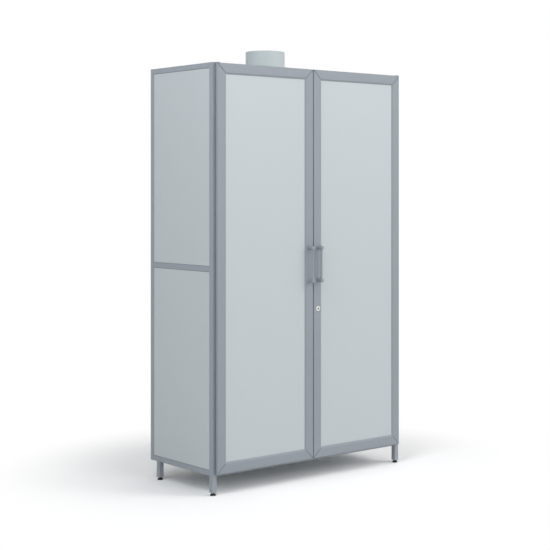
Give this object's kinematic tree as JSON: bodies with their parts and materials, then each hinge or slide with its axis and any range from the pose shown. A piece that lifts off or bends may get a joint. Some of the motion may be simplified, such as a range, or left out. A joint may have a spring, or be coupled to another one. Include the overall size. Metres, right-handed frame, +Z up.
{
  "type": "laboratory storage cabinet",
  "caption": "Tall laboratory storage cabinet with framed swing doors, grey tube frame, pale boarded walls, shelves, levelling feet and a round exhaust spigot in the roof.",
  "frame": {"origin": "on the floor, under the middle of the cabinet's overall box, handles and spigot included", "axes": "+X to the cabinet's right as seen from the front, +Y to its rear, +Z up"},
  "size_m": [1.201, 0.5656, 2.115],
  "materials": {
    "frame_paint": "satin grey powder coat on welded steel tube",
    "door_profile": "satin grey powder coat on extruded aluminium",
    "board": "light grey melamine faced chipboard",
    "edge_band": "grey plastic edge band",
    "spigot_plastic": "light grey moulded plastic",
    "grey_rubber": "dark grey rubber",
    "black_plastic": "black moulded plastic on a steel stem",
    "plug_plastic": "grey moulded plastic",
    "handle_metal": "satin grey powder coat",
    "lock_chrome": "polished chrome plate",
    "zinc_steel": "bright zinc plate",
    "white_nylon": "white nylon",
    "key_aluminium": "plain cast aluminium"
  },
  "bodies": {
    "cabinet": {"door_buffers": "grey_rubber", "exhaust_spigot": "spigot_plastic", "floor_panel": "board", "front_rails": "frame_paint", "left_front_post": "frame_paint", "left_rear_post": "frame_paint", "left_side_rails": "frame_paint", "left_wall_panels": "board", "leg_plugs": "plug_plastic", "magnet_catches": "white_nylon", "panel_clips": "frame_paint", "panel_edge_bands": "edge_band", "pivot_lugs": "frame_paint", "pivot_pins": "zinc_steel", "post_caps": "frame_paint", "rear_legs": "frame_paint", "rear_rails": "frame_paint", "rear_wall_panels": "board", "right_front_post": "frame_paint", "right_rear_post": "frame_paint", "right_side_rails": "frame_paint", "right_wall_panels": "board", "roof_panel": "board", "shelf_angles": "frame_paint", "shelf_edge_bands": "edge_band", "shelves": "board", "spigot_gasket": "grey_rubber"},
    "left_door": {"left_door_bottom_rail": "door_profile", "left_door_bushes": "white_nylon", "left_door_corner_keys": "key_aluminium", "left_door_handle": "handle_metal", "left_door_hinge_stile": "door_profile", "left_door_meeting_stile": "door_profile", "left_door_panel": "board", "left_door_panel_seal": "grey_rubber", "left_door_strike": "zinc_steel", "left_door_top_rail": "door_profile"},
    "right_door": {"lock_housing": "lock_chrome", "lock_nut": "zinc_steel", "right_door_bottom_rail": "door_profile", "right_door_bushes": "white_nylon", "right_door_corner_keys": "key_aluminium", "right_door_handle": "handle_metal", "right_door_hinge_stile": "door_profile", "right_door_meeting_stile": "door_profile", "right_door_panel": "board", "right_door_panel_seal": "grey_rubber", "right_door_strike": "zinc_steel", "right_door_top_rail": "door_profile"},
    "lock": {"lock_cam": "zinc_steel", "lock_plug": "lock_chrome"},
    "left_front_foot": {"left_front_foot": "black_plastic"},
    "left_rear_foot": {"left_rear_foot": "black_plastic"},
    "right_front_foot": {"right_front_foot": "black_plastic"},
    "right_rear_foot": {"right_rear_foot": "black_plastic"}
  },
  "joints": [
    {"name": "left_door_swing", "type": "hinge", "parent": "cabinet", "child": "left_door", "pos_m": [-0.5765, -0.23775, 1.05], "axis": [0, 0, -1], "range_deg": [0, 180]},
    {"name": "right_door_swing", "type": "hinge", "parent": "cabinet", "child": "right_door", "pos_m": [0.5765, -0.23775, 1.05], "axis": [0, 0, 1], "range_deg": [0, 180]},
    {"name": "lock_turn", "type": "hinge", "parent": "right_door", "child": "lock", "pos_m": [0.028, -0.24675, 0.832], "axis": [0, 1, 0], "range_deg": [0, 90]},
    {"name": "left_front_foot_turn", "type": "hinge", "parent": "cabinet", "child": "left_front_foot", "pos_m": [-0.5875, -0.21275, 0], "axis": [0, 0, 1], "continuous": true},
    {"name": "right_front_foot_turn", "type": "hinge", "parent": "cabinet", "child": "right_front_foot", "pos_m": [0.5875, -0.21275, 0], "axis": [0, 0, 1], "continuous": true},
    {"name": "left_rear_foot_turn", "type": "hinge", "parent": "cabinet", "child": "left_rear_foot", "pos_m": [-0.5875, 0.21825, 0], "axis": [0, 0, 1], "continuous": true},
    {"name": "right_rear_foot_turn", "type": "hinge", "parent": "cabinet", "child": "right_rear_foot", "pos_m": [0.5875, 0.21825, 0], "axis": [0, 0, 1], "continuous": true}
  ]
}
